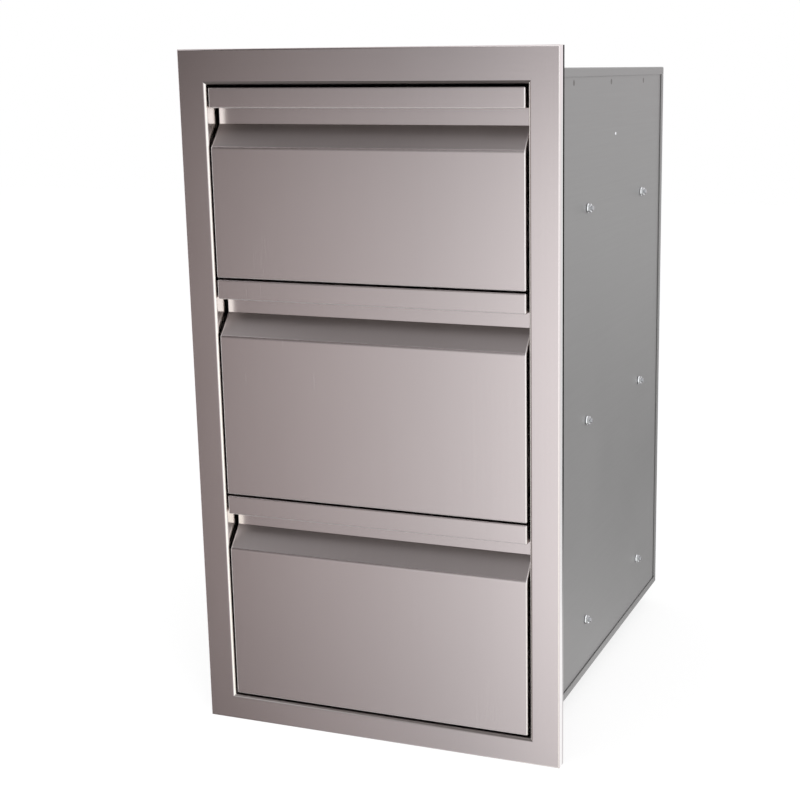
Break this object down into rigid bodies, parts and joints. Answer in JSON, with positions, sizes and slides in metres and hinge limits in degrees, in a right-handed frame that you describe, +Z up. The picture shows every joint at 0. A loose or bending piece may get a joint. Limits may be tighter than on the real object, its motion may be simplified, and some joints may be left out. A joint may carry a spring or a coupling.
{
  "type": "outdoor kitchen drawer unit",
  "caption": "Built-in stainless drawer unit for an outdoor kitchen: a flush trim frame and cabinet with stacked drawers, finger-recess fronts and telescopic ball slides.",
  "frame": {"origin": "on the cut-out's sill, in the plane of the island's wall, midway between the sides", "axes": "+X to the right seen from the front, +Y back into the island, +Z up; the drawers open towards -Y"},
  "size_m": [0.386, 0.49, 0.686],
  "materials": {
    "brushed_front": "brushed stainless steel, grain up the faces and along each member of the frame",
    "inner_steel": "satin stainless steel",
    "cabinet_steel": "dull mill-finish sheet steel",
    "slide_zinc": "bright zinc-plated steel",
    "cage_steel": "plain steel with bright balls",
    "bright_zinc": "bright zinc-plated steel"
  },
  "bodies": {
    "cabinet": {"trim_frame": "brushed_front", "left_side_panel": "cabinet_steel", "right_side_panel": "cabinet_steel", "top_panel": "cabinet_steel", "bottom_panel": "cabinet_steel", "back_panel": "cabinet_steel", "bottom_left_slide_outer_rail": "slide_zinc", "bottom_left_front_nut": "bright_zinc", "bottom_left_rear_nut": "bright_zinc", "bottom_right_slide_outer_rail": "slide_zinc", "bottom_right_front_nut": "bright_zinc", "bottom_right_rear_nut": "bright_zinc", "middle_left_slide_outer_rail": "slide_zinc", "middle_left_front_nut": "bright_zinc", "middle_left_rear_nut": "bright_zinc", "middle_right_slide_outer_rail": "slide_zinc", "middle_right_front_nut": "bright_zinc", "middle_right_rear_nut": "bright_zinc", "top_left_slide_outer_rail": "slide_zinc", "top_left_front_nut": "bright_zinc", "top_left_rear_nut": "bright_zinc", "top_right_slide_outer_rail": "slide_zinc", "top_right_front_nut": "bright_zinc", "top_right_rear_nut": "bright_zinc"},
    "bottom_drawer": {"bottom_drawer_front": "brushed_front", "bottom_front_liner": "inner_steel", "bottom_tray": "inner_steel", "bottom_left_slide_inner_rail": "slide_zinc", "bottom_right_slide_inner_rail": "slide_zinc"},
    "middle_drawer": {"middle_drawer_front": "brushed_front", "middle_front_liner": "inner_steel", "middle_tray": "inner_steel", "middle_left_slide_inner_rail": "slide_zinc", "middle_right_slide_inner_rail": "slide_zinc"},
    "top_drawer": {"top_drawer_front": "brushed_front", "top_front_liner": "inner_steel", "top_tray": "inner_steel", "top_left_slide_inner_rail": "slide_zinc", "top_right_slide_inner_rail": "slide_zinc"},
    "bottom_left_centre_rail": {"bottom_left_slide_centre_rail": "slide_zinc"},
    "bottom_left_outer_cage": {"bottom_left_outer_ball_cage": "cage_steel"},
    "bottom_left_inner_cage": {"bottom_left_inner_ball_cage": "cage_steel"},
    "bottom_right_centre_rail": {"bottom_right_slide_centre_rail": "slide_zinc"},
    "bottom_right_outer_cage": {"bottom_right_outer_ball_cage": "cage_steel"},
    "bottom_right_inner_cage": {"bottom_right_inner_ball_cage": "cage_steel"},
    "middle_left_centre_rail": {"middle_left_slide_centre_rail": "slide_zinc"},
    "middle_left_outer_cage": {"middle_left_outer_ball_cage": "cage_steel"},
    "middle_left_inner_cage": {"middle_left_inner_ball_cage": "cage_steel"},
    "middle_right_centre_rail": {"middle_right_slide_centre_rail": "slide_zinc"},
    "middle_right_outer_cage": {"middle_right_outer_ball_cage": "cage_steel"},
    "middle_right_inner_cage": {"middle_right_inner_ball_cage": "cage_steel"},
    "top_left_centre_rail": {"top_left_slide_centre_rail": "slide_zinc"},
    "top_left_outer_cage": {"top_left_outer_ball_cage": "cage_steel"},
    "top_left_inner_cage": {"top_left_inner_ball_cage": "cage_steel"},
    "top_right_centre_rail": {"top_right_slide_centre_rail": "slide_zinc"},
    "top_right_outer_cage": {"top_right_outer_ball_cage": "cage_steel"},
    "top_right_inner_cage": {"top_right_inner_ball_cage": "cage_steel"}
  },
  "joints": [
    {"name": "bottom_drawer_slide", "type": "slide", "parent": "cabinet", "child": "bottom_drawer", "axis": [0, -1, 0], "range_m": [0, 0.4]},
    {"name": "bottom_left_centre_rail_slide", "type": "slide", "parent": "cabinet", "child": "bottom_left_centre_rail", "axis": [0, -1, 0], "range_m": [0, 0.2]},
    {"name": "bottom_left_outer_cage_slide", "type": "slide", "parent": "cabinet", "child": "bottom_left_outer_cage", "axis": [0, -1, 0], "range_m": [0, 0.1]},
    {"name": "bottom_left_inner_cage_slide", "type": "slide", "parent": "cabinet", "child": "bottom_left_inner_cage", "axis": [0, -1, 0], "range_m": [0, 0.3]},
    {"name": "bottom_right_centre_rail_slide", "type": "slide", "parent": "cabinet", "child": "bottom_right_centre_rail", "axis": [0, -1, 0], "range_m": [0, 0.2]},
    {"name": "bottom_right_outer_cage_slide", "type": "slide", "parent": "cabinet", "child": "bottom_right_outer_cage", "axis": [0, -1, 0], "range_m": [0, 0.1]},
    {"name": "bottom_right_inner_cage_slide", "type": "slide", "parent": "cabinet", "child": "bottom_right_inner_cage", "axis": [0, -1, 0], "range_m": [0, 0.3]},
    {"name": "middle_drawer_slide", "type": "slide", "parent": "cabinet", "child": "middle_drawer", "axis": [0, -1, 0], "range_m": [0, 0.4]},
    {"name": "middle_left_centre_rail_slide", "type": "slide", "parent": "cabinet", "child": "middle_left_centre_rail", "axis": [0, -1, 0], "range_m": [0, 0.2]},
    {"name": "middle_left_outer_cage_slide", "type": "slide", "parent": "cabinet", "child": "middle_left_outer_cage", "axis": [0, -1, 0], "range_m": [0, 0.1]},
    {"name": "middle_left_inner_cage_slide", "type": "slide", "parent": "cabinet", "child": "middle_left_inner_cage", "axis": [0, -1, 0], "range_m": [0, 0.3]},
    {"name": "middle_right_centre_rail_slide", "type": "slide", "parent": "cabinet", "child": "middle_right_centre_rail", "axis": [0, -1, 0], "range_m": [0, 0.2]},
    {"name": "middle_right_outer_cage_slide", "type": "slide", "parent": "cabinet", "child": "middle_right_outer_cage", "axis": [0, -1, 0], "range_m": [0, 0.1]},
    {"name": "middle_right_inner_cage_slide", "type": "slide", "parent": "cabinet", "child": "middle_right_inner_cage", "axis": [0, -1, 0], "range_m": [0, 0.3]},
    {"name": "top_drawer_slide", "type": "slide", "parent": "cabinet", "child": "top_drawer", "axis": [0, -1, 0], "range_m": [0, 0.4]},
    {"name": "top_left_centre_rail_slide", "type": "slide", "parent": "cabinet", "child": "top_left_centre_rail", "axis": [0, -1, 0], "range_m": [0, 0.2]},
    {"name": "top_left_outer_cage_slide", "type": "slide", "parent": "cabinet", "child": "top_left_outer_cage", "axis": [0, -1, 0], "range_m": [0, 0.1]},
    {"name": "top_left_inner_cage_slide", "type": "slide", "parent": "cabinet", "child": "top_left_inner_cage", "axis": [0, -1, 0], "range_m": [0, 0.3]},
    {"name": "top_right_centre_rail_slide", "type": "slide", "parent": "cabinet", "child": "top_right_centre_rail", "axis": [0, -1, 0], "range_m": [0, 0.2]},
    {"name": "top_right_outer_cage_slide", "type": "slide", "parent": "cabinet", "child": "top_right_outer_cage", "axis": [0, -1, 0], "range_m": [0, 0.1]},
    {"name": "top_right_inner_cage_slide", "type": "slide", "parent": "cabinet", "child": "top_right_inner_cage", "axis": [0, -1, 0], "range_m": [0, 0.3]}
  ],
  "couplings": [
    {"joint": "bottom_left_centre_rail_slide", "follows": "bottom_drawer_slide", "ratio": 0.5},
    {"joint": "bottom_left_outer_cage_slide", "follows": "bottom_drawer_slide", "ratio": 0.25},
    {"joint": "bottom_left_inner_cage_slide", "follows": "bottom_drawer_slide", "ratio": 0.75},
    {"joint": "bottom_right_centre_rail_slide", "follows": "bottom_drawer_slide", "ratio": 0.5},
    {"joint": "bottom_right_outer_cage_slide", "follows": "bottom_drawer_slide", "ratio": 0.25},
    {"joint": "bottom_right_inner_cage_slide", "follows": "bottom_drawer_slide", "ratio": 0.75},
    {"joint": "middle_left_centre_rail_slide", "follows": "middle_drawer_slide", "ratio": 0.5},
    {"joint": "middle_left_outer_cage_slide", "follows": "middle_drawer_slide", "ratio": 0.25},
    {"joint": "middle_left_inner_cage_slide", "follows": "middle_drawer_slide", "ratio": 0.75},
    {"joint": "middle_right_centre_rail_slide", "follows": "middle_drawer_slide", "ratio": 0.5},
    {"joint": "middle_right_outer_cage_slide", "follows": "middle_drawer_slide", "ratio": 0.25},
    {"joint": "middle_right_inner_cage_slide", "follows": "middle_drawer_slide", "ratio": 0.75},
    {"joint": "top_left_centre_rail_slide", "follows": "top_drawer_slide", "ratio": 0.5},
    {"joint": "top_left_outer_cage_slide", "follows": "top_drawer_slide", "ratio": 0.25},
    {"joint": "top_left_inner_cage_slide", "follows": "top_drawer_slide", "ratio": 0.75},
    {"joint": "top_right_centre_rail_slide", "follows": "top_drawer_slide", "ratio": 0.5},
    {"joint": "top_right_outer_cage_slide", "follows": "top_drawer_slide", "ratio": 0.25},
    {"joint": "top_right_inner_cage_slide", "follows": "top_drawer_slide", "ratio": 0.75}
  ]
}
